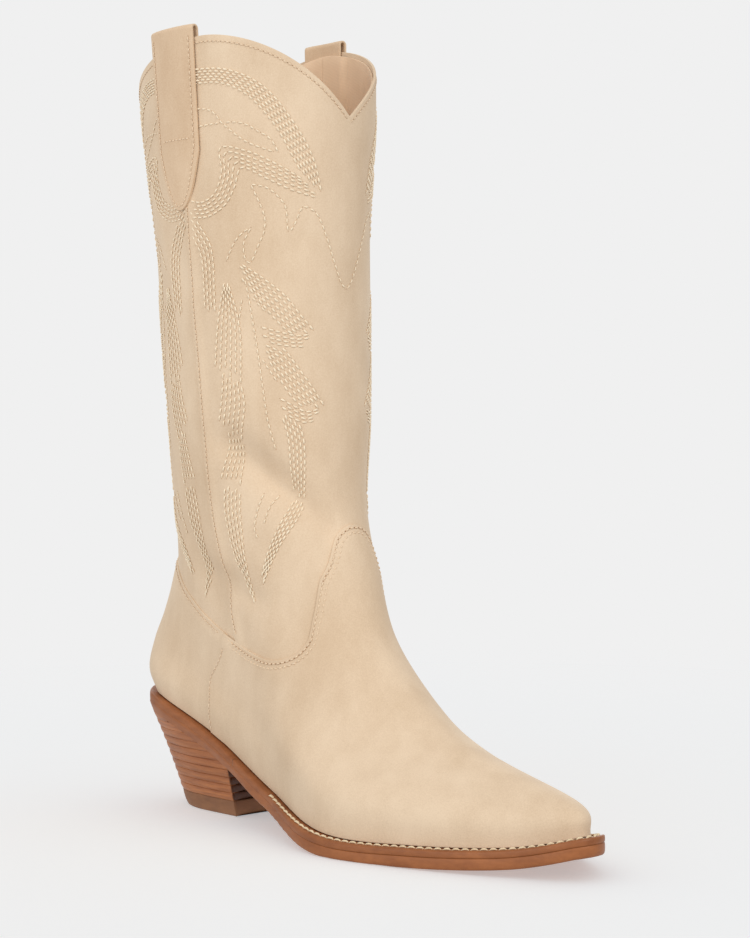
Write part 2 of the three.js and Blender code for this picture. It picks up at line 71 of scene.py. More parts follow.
def make_camera():
    data = bpy.data.cameras.new("camera")
    data.lens = LENS
    data.sensor_width = SENSOR_WIDTH
    data.clip_start = 0.02
    camera = bpy.data.objects.new("camera", data)
    bpy.context.scene.collection.objects.link(camera)
    camera.location = metres(CAMERA)
    camera.rotation_euler = (math.radians(90 - CAMERA_DIP), 0, math.radians(CAMERA_TURN))
    bpy.context.scene.camera = camera


make_camera()

# ---- the boot's form
FOOT_BACK = 6
FOOT_LENGTH = 283.5
# Lower edge of the upper every 22.5 degrees from heel to toe: share of the length, how far out to the
# outer and to the inner side as a share of the lowest section's half-width, height.
FEATHER_STEP = 22.5
FEATHER_LINE = [
    (0, 0, 0, 57.6), (0.018, 0.475, 0.43, 57.4), (0.081, 0.715, 0.675, 55), (0.23, 0.76, 0.63, 41.1),
    (0.407, 0.915, 0.55, 21), (0.585, 1.22, 0.78, 9.2), (0.759, 0.955, 0.87, 9),
    (0.911, 0.5, 0.525, 12.1), (1, 0.06, -0.06, 18.1),
]
FEATHER_RING = np.array([(share, -outer, height) for share, outer, _, height in FEATHER_LINE]
                        + [(share, inner, height) for share, _, inner, height in FEATHER_LINE[7:0:-1]])
# Sections from the sole to the rim: back x and z, front x and z, half-width, roundness, share of the
# sole's curve.
SECTIONS = np.array([
    (FOOT_BACK, 60, FOOT_BACK + FOOT_LENGTH, 14, 40, 0, 1),
    (-2, 72, 283, 27.8, 40.8, 0.12, 0.75),
    (-1.4, 86, 227.8, 43.5, 36.2, 0.35, 0.4),
    (4.3, 100, 196.1, 59, 34, 0.6, 0.15),
    (11.1, 115, 161.6, 91.2, 33.3, 0.8, 0),
    (17.1, 130, 144.8, 130.5, 35.7, 0.95, 0),
    (18.6, 150, 136.7, 158, 37.9, 1, 0),
    (17.3, 185, 135.9, 195, 42, 1, 0),
    (12.4, 240, 135, 245, 45.1, 1, 0),
    (2.1, 310, 136.7, 312, 47.4, 1, 0),
    (-7.9, 390, 138, 390, 50, 1, 0),
], float)
LAST_SECTION = len(SECTIONS) - 1
# Top edge of the vamp and counter: angle and height.
FOOT_TOP_EDGE = np.array([
    (-22, 128), (0, 130), (22, 128), (45, 120), (63, 107), (76.5, 97), (86, 91), (97, 85), (109, 82),
    (122, 85), (133, 93), (141, 107), (147, 120), (154, 128), (163, 140), (172, 145), (180, 146),
    (188, 145),
], float)
# How far the skin is drawn in at the foot, up to which section, and from which one it isn't.
SINK, SINK_UP_TO, SINK_GONE = 1.6, 4.2, 6
# The rim on the outer and the inner side: peak's angle, its height, powers to the front and to the back.
RIM = ((105, 380.6, 1.8, 1.6), (92, 386.2, 1.55, 1.6))
RIM_LOW = 340.6
LAP = 8  # how far the leg reaches down inside the foot pieces
WELT_PROJECTION, RAND_PROJECTION = 5.7, 3.7
SOLE_THICKNESS = 9
TOE_SLOPE = 0.2
# Soft folds in the leg: two ends as (angle, height), width and depth. A degree is about 0.85 mm wide.
DEGREE = 0.85
FOLDS = [
    ((107, 184), (158, 146), 8, 6.0), ((116, 206), (162, 170), 11, -1.4), ((106, 158), (144, 124), 8, -0.3),
    ((68, 136), (84, 106), 7, 3.2), ((80, 122), (106, 111), 7, 2.7), ((106, 134), (124, 120), 7, -0.5),
    ((232, 150), (262, 176), 8, 2.5), ((226, 134), (256, 150), 8, -1.3), ((262, 128), (284, 146), 8, 1.6),
    ((-36, 156), (24, 164), 8, 1.8), ((-20, 136), (34, 142), 6, 1.2), ((128, 300), (170, 262), 20, 1.2),
    ((20, 330), (60, 240), 18, 1.5), ((200, 320), (240, 250), 18, 1.4), ((76, 296), (86, 262), 7, 1.4),
]
# Slack of the suede: depth of each wave, and its length round and up the leg.
SLACK = [(0.25, 17, 43), (0.2, -29, 19), (0.12, 9, 13)]


def smooth(a, b, x):
    t = np.clip((np.asarray(x, float) - a) / (b - a), 0, 1)
    return t * t * (3 - 2 * t)


def mix(a, b, t):
    return a + (b - a) * t


def unit(vectors):
    return vectors / np.maximum(np.linalg.norm(vectors, axis=-1, keepdims=True), 1e-9)


def floats(*values):
    """The values as arrays of floats with one common shape."""
    return np.broadcast_arrays(*[np.asarray(value, float) for value in values])


def cubic(p0, p1, p2, p3, f):
    a = 2 * p0 - 5 * p1 + 4 * p2 - p3
    b = 3 * p1 - p0 - 3 * p2 + p3
    return 0.5 * (2 * p1 + (p2 - p0) * f + a * f ** 2 + b * f ** 3)


def along(table, s):
    """Smooth curve through the rows of an open table, at fractional row numbers."""
    last = len(table) - 1
    s = np.asarray(s, float)
    i = np.clip(np.floor(s).astype(int), 0, last - 1)
    p1, p2 = table[i], table[i + 1]
    p0 = np.where((i > 0)[..., None], table[np.maximum(i - 1, 0)], 2 * p1 - p2)
    p3 = np.where((i < last - 1)[..., None], table[np.minimum(i + 2, last)], 2 * p2 - p1)
    return cubic(p0, p1, p2, p3, (s - i)[..., None])


def feather(angle):
    """Share of the length, side and height of the upper's lower edge: 0 heel, 90 outer side, 180 toe."""
    s = np.asarray(angle, float) / FEATHER_STEP
    i = np.floor(s).astype(int)
    corners = [FEATHER_RING[(i + n) % len(FEATHER_RING)] for n in (-1, 0, 1, 2)]
    return cubic(*corners, (s - i)[..., None])


def surface(angle, v):
    """Points of the upper's smooth surface at angles round it and section numbers."""
    angle, v = floats(angle, v)
    share, side, height = np.moveaxis(feather(angle), -1, 0)
    bx, bz, fx, fz, w, k, fade = np.moveaxis(along(SECTIONS, v), -1, 0)
    a = np.radians(angle)
    tx = (1 - k) * share + k * (1 - np.cos(a)) / 2
    ty = (1 - k) * side - k * np.sin(a)
    curve = height - mix(SECTIONS[0, 1], SECTIONS[0, 3], share)
    return np.stack([mix(bx, fx, tx), w * ty, mix(bz, fz, tx) + fade * curve], -1)


def folds(angle, z):
    """How far the soft folds and the slack of the suede move the surface."""
    x = (np.mod(angle + 90, 360) - 180) * DEGREE
    move = sum(depth * np.sin(x / wide + z / high) for depth, wide, high in SLACK)
    for (a1, z1), (a2, z2), width, depth in FOLDS:
        start = np.array([(a1 - 90) * DEGREE, z1])
        line = np.array([(a2 - 90) * DEGREE, z2]) - start
        t = np.clip(((x - start[0]) * line[0] + (z - start[1]) * line[1]) / (line @ line), 0, 1)
        d = np.hypot(x - start[0] - t * line[0], z - start[1] - t * line[1])
        move = move - depth * np.exp(-((d / width) ** 2)) * (1 - 0.4 * np.abs(2 * t - 1))
    return move * smooth(84, 112, z) * (1 - 0.75 * smooth(345, 385, z))


def slopes(angle, v):
    """How the surface moves for one degree and for one section."""
    step = 0.02
    across = surface(angle + 0.5, v) - surface(angle - 0.5, v)
    return across, (surface(angle, v + step) - surface(angle, v - step)) / (2 * step)


def normals(angle, v):
    """Outward directions, level at the sole so that its edge is square to the floor."""
    n = np.cross(*slopes(angle, v))
    n[..., 2] *= np.where(np.asarray(v) < 1.5, smooth(0, 1.5, v), 1)
    return unit(n)


def skin(angle, v, distance):
    """Points at a distance outside the upper's surface, and the normals there."""
    angle, v = floats(angle, v)
    p, n = surface(angle, v), normals(angle, v)
    out = distance - SINK * (1 - smooth(SINK_UP_TO, SINK_GONE, v)) + folds(angle, p[..., 2])
    return p + n * out[..., None], n


def row_at(angle, z):
    """Section number at which the surface has a height."""
    angle, z = floats(angle, z)
    low, high = np.zeros(angle.shape), np.full(angle.shape, float(LAST_SECTION))
    for _ in range(24):
        middle = (low + high) / 2
        below = surface(angle, middle)[..., 2] < z
        low, high = np.where(below, middle, low), np.where(below, high, middle)
    return (low + high) / 2


def folded(angle):
    """The angle from the back, 0 to 180, on either side."""
    a = np.mod(angle, 360)
    return np.where(a <= 180, a, 360 - a)


def rim_height(angle):
    a = folded(angle)
    peak, high, front, back = np.where(is_inner(angle), *np.array(RIM)[::-1, :, None])
    dip = np.where(a > peak, np.abs(a - peak) / (180 - peak), np.abs(1 - a / peak))
    return high - (high - RIM_LOW) * dip ** np.where(a > peak, front, back)


def is_inner(angle):
    return np.sin(np.radians(angle)) < 0


def foot_top_height(angle):
    a = folded(angle)
    table = FOOT_TOP_EDGE
    i = np.clip(np.searchsorted(table[:, 0], a, side="right") - 1, 1, len(table) - 3)
    f = (a - table[i, 0]) / (table[i + 1, 0] - table[i, 0])
    return along(table, i + f)[..., 1]


def feather_height(x):
    angles = np.linspace(0, 180, 400)
    share, _, height = np.moveaxis(feather(angles), -1, 0)
    x = np.asarray(x, float)
    past = np.maximum(x - FOOT_BACK - FOOT_LENGTH, 0) * TOE_SLOPE
    return np.interp((x - FOOT_BACK) / FOOT_LENGTH, share, height) + past


def projection(angle):
    return mix(RAND_PROJECTION, WELT_PROJECTION, smooth(90, 112, folded(angle)))


def sole_point(angle, offset, rise):
    angle = np.asarray(angle, float)
    n = normals(angle, np.zeros(angle.shape))
    p = surface(angle, np.zeros(angle.shape)) + n * np.asarray(offset)[..., None]
    p[..., 2] = feather_height(p[..., 0]) + rise
    return p


# ---- materials
def srgb(*levels):
    """A colour from red, green and blue levels of 0 to 255."""
    return (*[((level / 255 + 0.055) / 1.055) ** 2.4 for level in levels], 1)


class Look:
    """A material under construction: its textures lie in the object's own coordinates."""

    def __init__(self, name, colour, roughness, **shader):
        self.material = bpy.data.materials.new(name)
        self.material.use_nodes = True
        self.material.diffuse_color = colour
        self.nodes = self.material.node_tree.nodes
        self.links = self.material.node_tree.links
        self.shader = self.nodes["Principled BSDF"]
        self.shader.inputs["Base Color"].default_value = colour
        self.shader.inputs["Roughness"].default_value = roughness
        for key, value in shader.items():
            self.shader.inputs[key.replace("_", " ")].default_value = value
        self.place = self.nodes.new("ShaderNodeTexCoord").outputs["Object"]
        self.height = None

    def stretched(self, scale):
        node = self.nodes.new("ShaderNodeMapping")
        node.inputs["Scale"].default_value = scale
        self.links.new(self.place, node.inputs["Vector"])
        return node.outputs["Vector"]

    def texture(self, kind, place, **inputs):
        node = self.nodes.new("ShaderNodeTex" + kind)
        for key, value in inputs.items():
            node.inputs[key].default_value = value
        self.links.new(place, node.inputs["Vector"])
        return node

    def noise(self, scale, detail=3.0, rough=0.55, stretch=None):
        place = self.stretched(stretch) if stretch else self.place
        return self.texture("Noise", place, Scale=scale, Detail=detail, Roughness=rough).outputs["Fac"]

    def cells(self, scale):
        node = self.texture("Voronoi", self.place, Scale=scale)
        node.feature = "DISTANCE_TO_EDGE"
        return node.outputs["Distance"]

    def waves(self, scale, axis, distortion):
        node = self.texture("Wave", self.place, Scale=scale, Distortion=distortion)
        node.bands_direction = axis
        return node.outputs["Fac"]

    def math(self, operation, a, b):
        node = self.nodes.new("ShaderNodeMath")
        node.operation = operation
        for socket, value in zip(node.inputs, (a, b)):
            if isinstance(value, (int, float)):
                socket.default_value = value
            else:
                self.links.new(value, socket)
        return node.outputs[0]

    def weighed(self, *parts):
        """Sum of values by their weights."""
        products = [self.math("MULTIPLY", value, weight) for value, weight in parts]
        total = products[0]
        for product in products[1:]:
            total = self.math("ADD", total, product)
        return total

    def ranged(self, fac, start=(0, 1), end=(0, 1)):
        """One range of values mapped to another."""
        node = self.nodes.new("ShaderNodeMapRange")
        for label, value in zip(("From Min", "From Max", "To Min", "To Max"), (*start, *end)):
            node.inputs[label].default_value = value
        self.links.new(fac, node.inputs["Value"])
        return node.outputs["Result"]

    def colours(self, fac, *stops):
        """Colour from a ramp between two stops, each (place, colour)."""
        node = self.nodes.new("ShaderNodeValToRGB")
        for element, (place, colour) in zip(node.color_ramp.elements, stops):
            element.position = place
            element.color = colour
        self.links.new(fac, node.inputs["Fac"])
        return node.outputs["Color"]

    # Mixes a colour towards a darker one by a factor: painted shade on the heel's front face.
    def with_painted_shade(self, fac, colour, shade_colour):
        node = self.nodes.new("ShaderNodeMix")
        node.data_type = "RGBA"
        self.links.new(fac, node.inputs["Factor"])
        self.links.new(colour, node.inputs[6])
        node.inputs[7].default_value = shade_colour
        return node.outputs[2]

    def base(self, colour):
        self.links.new(colour, self.shader.inputs["Base Color"])

    def rough(self, fac, low, high):
        self.links.new(self.ranged(fac, end=(low, high)), self.shader.inputs["Roughness"])

    def bump(self, fac, strength, distance):
        """Adds one layer of bump; distance is in mm."""
        node = self.nodes.new("ShaderNodeBump")
        node.inputs["Strength"].default_value = strength
        node.inputs["Distance"].default_value = distance / 1000
        self.links.new(fac, node.inputs["Height"])
        if self.height is not None:
            self.links.new(self.height, node.inputs["Normal"])
        self.height = node.outputs["Normal"]
        self.links.new(self.height, self.shader.inputs["Normal"])
        return self


def suede_look(name, light, dark):
    look = Look(name, light, 0.92, Specular_IOR_Level=0.15, Sheen_Weight=0.35, Sheen_Roughness=0.45)
    look.shader.inputs["Sheen Tint"].default_value = (1, 0.93, 0.82, 1)
    nap = look.noise(1500, 4, 0.7)
    brushed = look.noise(36, 4, 0.6, (1, 1, 0.45))
    cloud = look.noise(14, 3, 0.5)
    tone = look.weighed((nap, 0.35), (brushed, 0.4), (cloud, 0.25))
    look.base(look.colours(tone, (0.39, dark), (0.6, light)))
    look.bump(cloud, 0.3, 1.4)
    look.bump(look.noise(90, 3, 0.6), 0.25, 0.5)
    look.bump(look.noise(420, 3, 0.6), 0.3, 0.12)
    return look.bump(nap, 0.5, 0.09).material


def leather_look(name, light, dark, roughness, grain=520, coat=0.0):
    look = Look(name, light, roughness, Specular_IOR_Level=0.35, Coat_Weight=coat, Coat_Roughness=0.3)
    streaks = look.noise(60, 5, 0.6, (1, 1, 3.5))
    spots = look.noise(240, 4, 0.6)
    look.base(look.colours(look.weighed((streaks, 0.7), (spots, 0.3)), (0.32, dark), (0.66, light)))
    look.rough(spots, roughness - 0.08, roughness + 0.12)
    look.bump(look.cells(grain), 0.25, 0.12)
    return look.bump(streaks, 0.3, 0.25).material


def lining_look():
    light, dark = srgb(244, 214, 182), srgb(220, 188, 154)
    look = Look("lining_cloth", light, 0.85, Specular_IOR_Level=0.2, Sheen_Weight=0.2)
    weave = look.math("MULTIPLY", look.waves(420, "Z", 1.5), look.waves(420, "X", 1.5))
    look.base(look.colours(look.weighed((look.noise(30), 0.7), (weave, 0.3)), (0.3, dark), (0.62, light)))
    return look.bump(weave, 0.3, 0.12).material


def thread_look(name, colour, shade):
    look = Look(name, colour, 0.5, Specular_IOR_Level=0.4, Sheen_Weight=0.3)
    twist = look.waves(900, "DIAGONAL", 0.5)
    look.base(look.colours(look.weighed((look.noise(260), 0.6), (twist, 0.4)), (0.3, shade), (0.6, colour)))
    return look.bump(twist, 0.35, 0.12).material


def board_look(name, light, dark, scale=700):
    look = Look(name, light, 0.9)
    specks = look.noise(scale, 4, 0.7)
    look.base(look.colours(specks, (0.38, dark), (0.6, light)))
    return look.bump(specks, 0.4, 0.2).material


def metal_look(name, colour, roughness):
    look = Look(name, colour, roughness, Metallic=1.0)
    brush = look.noise(500, 3, 0.6, (1, 8, 8))
    look.rough(brush, roughness - 0.08, roughness + 0.15)
    return look.bump(brush, 0.15, 0.05).material


BREAST_PAINTED_SHADE = srgb(82, 44, 22)  # painted shade for the heel's front face, which the sole above it shades


def heel_look(tone):
    """Stained edge of stacked leather: fibres run along the lift, and the front face gets painted shade,
    darker where it turns to the toe.
    """
    light = tuple(c * tone for c in srgb(182, 114, 66)[:3]) + (1,)
    dark = tuple(c * tone for c in srgb(142, 81, 41)[:3]) + (1,)
    look = Look("stacked_leather", light, 0.5, Specular_IOR_Level=0.4, Coat_Weight=0.12, Coat_Roughness=0.35)
    fibres = look.noise(150, 6, 0.65, (0.35, 0.35, 5))
    facing = look.nodes.new("ShaderNodeSeparateXYZ")
    look.links.new(look.nodes.new("ShaderNodeNewGeometry").outputs["Normal"], facing.inputs[0])
    # Painted shade: faces turned to the toe are mixed towards a dark brown.
    breast = look.ranged(facing.outputs["X"], (0.45, 0.85))
    look.base(look.with_painted_shade(breast, look.colours(fibres, (0.33, dark), (0.66, light)), BREAST_PAINTED_SHADE))
    look.rough(fibres, 0.4, 0.62)
    look.bump(look.noise(700, 3, 0.6, (0.5, 0.5, 3)), 0.3, 0.12)
    return look.bump(fibres, 0.4, 0.3).material


SUEDE = suede_look("suede", srgb(230, 207, 179), srgb(209, 183, 153))
STRAP_SUEDE = suede_look("strap_suede", srgb(229, 203, 173), srgb(208, 178, 146))
LINING = lining_look()
THREAD = thread_look("embroidery_thread", srgb(250, 235, 208), srgb(232, 208, 176))
SEAM_THREAD = thread_look("seam_thread", srgb(240, 216, 186), srgb(218, 190, 156))
WELT_THREAD = thread_look("welt_thread", srgb(244, 226, 190), srgb(206, 176, 134))
HOLE = board_look("needle_hole", srgb(214, 184, 152), srgb(194, 162, 130), 1200)
# Painted shade: a darker brown in the needle-hole funnels of the rim, side seams, vamp and straps stands for
# the shade inside deep holes.
DEEP_PIT_SHADE = board_look("deep_needle_hole_painted_shade", srgb(178, 138, 104), srgb(150, 112, 80), 1200)
WELT = leather_look("welt_leather", srgb(164, 101, 58), srgb(134, 77, 40), 0.5, coat=0.06)
SOLE = leather_look("sole_leather", srgb(168, 103, 58), srgb(136, 78, 40), 0.5, coat=0.06)
TOP_LIFT = leather_look("top_lift_rubber", srgb(150, 104, 72), srgb(124, 84, 58), 0.62, 900)
SOCK = leather_look("sock_leather", srgb(214, 186, 150), srgb(196, 166, 128), 0.6)
BOARD = board_look("fibre_board", srgb(190, 158, 118), srgb(160, 126, 88))
CORK = board_look("cork", srgb(178, 138, 92), srgb(120, 84, 50), 320)
STEEL = metal_look("steel", (0.55, 0.57, 0.58, 1), 0.35)
BRASS = metal_look("brass", (0.71, 0.5, 0.22, 1), 0.35)

# ---- making pieces
def make_piece(name, points, faces, material, body="boot", replaces=(), flat=False):
    """A mesh object that rides on a body; one without a body stands alone."""
    mesh = bpy.data.meshes.new(name)
    mesh.from_pydata(metres(points).reshape(-1, 3).tolist(), [], faces)
    mesh.update()
    mesh.materials.append(material)
    piece = bpy.data.objects.new(name, mesh)
    bpy.context.scene.collection.objects.link(piece)
    if not flat:
        mesh.polygons.foreach_set("use_smooth", [True] * len(mesh.polygons))
    if body:
        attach(piece, body)
    if replaces:
        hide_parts(*replaces)
    return piece


def round_edges(piece, width, degrees):
    """Rounds the edges that are sharper than an angle, by a width in mm."""
    bevel = piece.modifiers.new("round", "BEVEL")
    bevel.width = width / 1000
    bevel.segments = 3
    bevel.limit_method = "ANGLE"
    bevel.angle_limit = math.radians(degrees)


def grid_faces(rows, columns, first=0, wrap=False):
    """Faces of a grid of points; wrap joins each row's end to its start."""
    faces = []
    for i in range(rows - 1):
        for j in range(columns if wrap else columns - 1):
            a = first + i * columns + j
            b = first + i * columns + (j + 1) % columns
            faces.append((a, b, b + columns, a + columns))
    return faces


SUEDE_THICK, LINING_THICK = 1.3, 0.8


def sheet(name, angle, v, out, material, replaces, thickness=SUEDE_THICK, pucker=None):
    """A sheet of the upper from grids of angle and section number, with its real thickness."""
    points, n = skin(angle, v, out)
    if pucker is not None:
        points = points - n * pucker(points)[..., None]
    rows, columns = points.shape[:2]
    faces = grid_faces(rows, columns)
    piece = make_piece(name, points, faces, material, replaces=replaces)
    solid = piece.modifiers.new("thickness", "SOLIDIFY")
    solid.thickness = thickness / 1000
    solid.offset = -1
    solid.use_quality_normals = True
    round_edges(piece, min(0.45, thickness * 0.35), 55)


# ---- threads
class Row:
    """One row of stitches: the middle of each, its way along the row and its up."""

    def __init__(self, points, ways, ups, pitch=3.4, length=2.6, radius=0.42):
        self.points, self.ways, self.ups = points, ways, ups
        self.pitch, self.length, self.radius = pitch, length, radius


def run_along(points):
    """Distance along a line of points from its start."""
    return np.concatenate([[0], np.cumsum(np.linalg.norm(np.diff(points, axis=0), axis=1))])


def upper_row(angle, v, out=0.0, phase=0.5, pitch=3.4, **stitch):
    """A row on the upper along angles and section numbers; phase is the share of a pitch before it."""
    angle, v = floats(angle, v)
    run = run_along(skin(angle, v, out)[0])
    reach = 0.6
    at = (np.arange(int(run[-1] / pitch - 0.2)) + phase) * pitch
    at = at[at < run[-1]]

    def on(distance):
        return skin(np.interp(distance, run, angle), np.interp(distance, run, v), out)
    points, ups = on(at)
    ways = unit(on(np.minimum(at + reach, run[-1]))[0] - on(np.maximum(at - reach, 0))[0])
    return Row(points, ways, ups, pitch, **stitch)


def mirror_path(path, back, inner):
    """The path mirrored about the side seam, and onto the inner side of the leg."""
    path = np.array(path, float)
    if back:
        path[:, 0] = 180 - path[:, 0]
    if inner:
        path[:, 0] = 360 - path[:, 0]
    return path


def curve(path):
    """Sixty points along the smooth curve through a path's points."""
    return along(path, np.linspace(0, len(path) - 1, 60))


def shifted(angle, v, distance):
    """The path moved sideways over the surface by a distance in mm, to its left."""
    angle, v = floats(angle, v)
    by_angle, by_v = slopes(angle, v)
    way = unit(np.gradient(surface(angle, v), axis=0))
    side = np.cross(normals(angle, v), way) * distance
    a11, a12, a22 = (by_angle ** 2).sum(-1), (by_angle * by_v).sum(-1), (by_v ** 2).sum(-1)
    b1, b2 = (side * by_angle).sum(-1), (side * by_v).sum(-1)
    det = a11 * a22 - a12 ** 2
    return angle + (b1 * a22 - b2 * a12) / det, v + (a11 * b2 - a12 * b1) / det


def distance_to(places):
    """A function that tells how far a point is from the nearest of some places."""
    tree = kdtree.KDTree(len(places))
    for n, place in enumerate(places):
        tree.insert(place, n)
    tree.balance()
    return lambda point: tree.find(point)[2]


def thinned(rows, space):
    """Rows without the stitches that would lie on an earlier row's stitch."""
    taken = rows[0].points.tolist()
    for row in rows[1:]:
        away = distance_to(taken)
        keep = [away(point) > space for point in row.points]
        row.points, row.ups, row.ways = row.points[keep], row.ups[keep], row.ways[keep]
        taken.extend(row.points.tolist())
    return [row for row in rows if len(row.points)]


SIDES, RINGS = 6, 5
# A stitch's taper to its ends, the rise of its middle and dip of its ends, its width and its height,
# as shares of the thread's radius.
TAPER, RISE, DIP, WIDE, FLAT = 0.86, 0.75, 1.15, 1.15, 0.8
HOLE_RISE, HOLE_DEPTH = 0.06, 0.2


def circle():
    """Cosines and sines round a small ring."""
    turn = np.linspace(0, 2 * np.pi, SIDES, endpoint=False)
    return np.cos(turn)[:, None], np.sin(turn)[:, None]


def thread_piece(name, rows, material, body="boot"):
    """Every stitch is a small bead of thread that dips into the suede at its two ends."""
    t = np.linspace(-1, 1, RINGS)[:, None]
    cos, sin = circle()
    per = RINGS * SIDES
    template = grid_faces(RINGS, SIDES, wrap=True)
    template += [tuple(range(SIDES))[::-1], tuple(range(per - SIDES, per))]
    blocks = []
    for row in rows:
        side = np.cross(row.ups, row.ways)
        swell = row.radius * np.sqrt(1 - (TAPER * t) ** 2)[..., None]
        ups, ways, side = row.ups[:, None], row.ways[:, None], side[:, None, None]
        centre = row.points[:, None] + ways * t * row.length / 2 + ups * row.radius * (RISE - DIP * t ** 4)
        rim = side * cos * swell * WIDE + ups[:, None] * sin * swell * FLAT
        blocks.append((centre[:, :, None] + rim).reshape(-1, 3))
    points = np.concatenate(blocks)
    faces = [tuple(start + k for k in face) for start in range(0, len(points), per) for face in template]
    return make_piece(name, points, faces, material, body)


def hole_piece(name, rows, radius=0.28, body="boot", look=HOLE):
    """The needle holes between the stitches of each row: small funnels."""
    cos, sin = circle()
    blocks = []
    for row in rows:
        ups, ways, side = row.ups[:, None], row.ways[:, None], np.cross(row.ups, row.ways)[:, None]
        centre = row.points[:, None] + ways * row.pitch / 2 + ups * HOLE_RISE
        rim = (ways * cos * 0.9 + side * sin) * radius
        blocks.append(np.concatenate([centre + rim, centre - ups * HOLE_DEPTH], 1).reshape(-1, 3))
    points = np.concatenate(blocks)
    faces = [(start + k, start + (k + 1) % SIDES, start + SIDES)
             for start in range(0, len(points), SIDES + 1) for k in range(SIDES)]
    return make_piece(name, points, faces, look, body, flat=True)


def puckers(rows, depth=0.14, width=1.3):
    """How deep the suede is drawn in by the stitches near each point."""
    away = distance_to(np.concatenate([row.points for row in rows]))

    def depth_at(points):
        near = np.array([away(point) for point in points.reshape(-1, 3)])
        return (depth * np.exp(-((near / width) ** 2))).reshape(points.shape[:-1])
    return depth_at


# ---- embroidery
# Each band is filled with rows between two edges, given as (angle, height) on the outer half of the
# front panel. The rows of the other panels mirror it.
BANDS = [
    # arch under the rim, and the hook that turns back from its tip
    ([(96, 365), (116, 363), (133, 354), (147, 337), (157, 320), (162, 303)],
     [(96, 358), (113, 357), (126, 350), (138, 336), (146, 322), (152, 311)], 6),
    ([(153, 309), (137, 318), (124, 324), (112, 326), (112, 315), (108, 305), (101, 301), (94, 302)],
     [(161, 301), (146, 305), (133, 311), (122, 316), (118, 307), (113, 299), (104, 294), (94, 294)], 5),
    # stem beside the seam
    ([(90, 301), (99, 289), (105, 276), (105, 249)], [(89, 294), (95, 283), (99, 273), (99, 247)], 4),
    # column of three leaves that point back, and their tail
    ([(113, 262), (118, 240), (117, 214)], [(111, 262), (106, 242), (102, 220)], 6),
    ([(117, 214), (118, 202), (113, 186)], [(107, 219), (105, 206), (101, 193)], 6),
    ([(113, 186), (112, 174), (111, 164)], [(106, 192), (104, 180), (100, 167)], 5),
    ([(111, 163), (109, 148), (107, 130), (106.5, 108)], [(102, 165), (100, 150), (101, 130), (106, 108)], 5),
    # two long feathers that point forward
    ([(119, 271), (130, 264), (142, 255), (150, 246), (158, 238)],
     [(120, 264), (128, 254), (135, 246), (141, 240), (147, 236)], 6),
    ([(157, 237), (148, 236), (138, 238), (130, 240)], [(152, 231), (146, 231), (138, 232), (131, 234)], 4),
    ([(131, 233), (140, 230), (147, 222), (155, 212), (162, 203)],
     [(131, 227), (136, 219), (141, 211), (146, 205), (152, 201)], 6),
    ([(161, 202), (152, 200), (144, 203), (138, 206)], [(156, 196), (150, 195), (144, 197), (139, 200)], 4),
    # forward column and the blade that sweeps back from it
    ([(145, 199), (149, 187), (149, 172), (147, 158)], [(138, 199), (141, 187), (141, 172), (141, 160)], 5),
    ([(147, 157), (140, 148), (132, 140), (124, 131), (115, 118)],
     [(141, 159), (134, 150), (127, 141), (120, 131), (114, 119)], 5),
]
# Single rows: veins between the feathers, the two loops by the strap, and the leaf at the front.
LINES = [
    [(122, 263), (124, 251), (127, 228), (130, 199), (134, 180)], [(120, 254), (117, 238)],
    [(117, 139), (117, 146), (125, 164)], [(122, 146), (127, 155), (133, 161)],
    [(123, 257), (138, 241)], [(127, 228), (138, 212)],
    [(100, 346), (108, 344), (114, 337), (125, 328), (140, 322)],
    [(98, 337), (114, 338), (123, 337), (130, 333), (136, 329), (140, 322)],
    [(126, 308), (132, 294), (132, 286), (129, 279), (125, 271), (122, 274), (122, 281), (125, 287),
     (118, 282), (111, 269)],
    [(126, 308), (134, 306), (140, 301), (143, 296), (144, 286), (147, 288), (151, 296), (156, 296),
     (162, 290), (174, 265), (180, 258)],
]


def line_row(path, **stitch):
    return upper_row(path[:, 0], row_at(path[:, 0], path[:, 1]), **stitch)


def embroidery(back, inner):
    """Rows of one quarter of the leg."""
    rows = []
    for first, second, count in BANDS:
        one, two = curve(mirror_path(first, back, inner)), curve(mirror_path(second, back, inner))
        for k in range(count):
            path = mix(one, two, k / (count - 1))
            rows.append(line_row(path, phase=0.5 if k % 2 else 1.0))
    for line in LINES:
        rows.append(line_row(curve(mirror_path(line, back, inner)), pitch=3.3, length=2.2, radius=0.34))
    return thinned(rows, space=1.25)


# ---- the leg
# Pull straps: middle and half-width in degrees, heights, and distances from the upper's surface.
STRAP_MID = {"outer": 88, "inner": 89.5}
STRAP_HALF = {"outer": 13.2, "inner": 11}
INNER_STRAP_RISE = 4.2
STRAP_TIP, STRAP_RISE, STRAP_POWER = 298, 28, 2.2
STRAP_OUT, STRAP_IN, STRAP_THICK = 1.8, -3.1, 1.5
LOOP_SHOULDER, LOOP_TOP = 384.6, 387
STRAP_END = 350
# Shares of the strap's path where the loop's arch over the rim begins and ends.
ARCH_START, ARCH_END = 0.58, 0.68


def strap_pocket(angle, z):
    """1 where the lining covers the end of a pull strap, fading to 0 round it."""
    inner = is_inner(angle)
    away = np.abs(folded(angle) - np.where(inner, STRAP_MID["inner"], STRAP_MID["outer"]))
    away = away - np.where(inner, STRAP_HALF["inner"], STRAP_HALF["outer"])
    level = z - np.where(inner, INNER_STRAP_RISE, 0)
    return smooth(6, 1, away) * smooth(STRAP_END - 7, STRAP_END - 1, level)


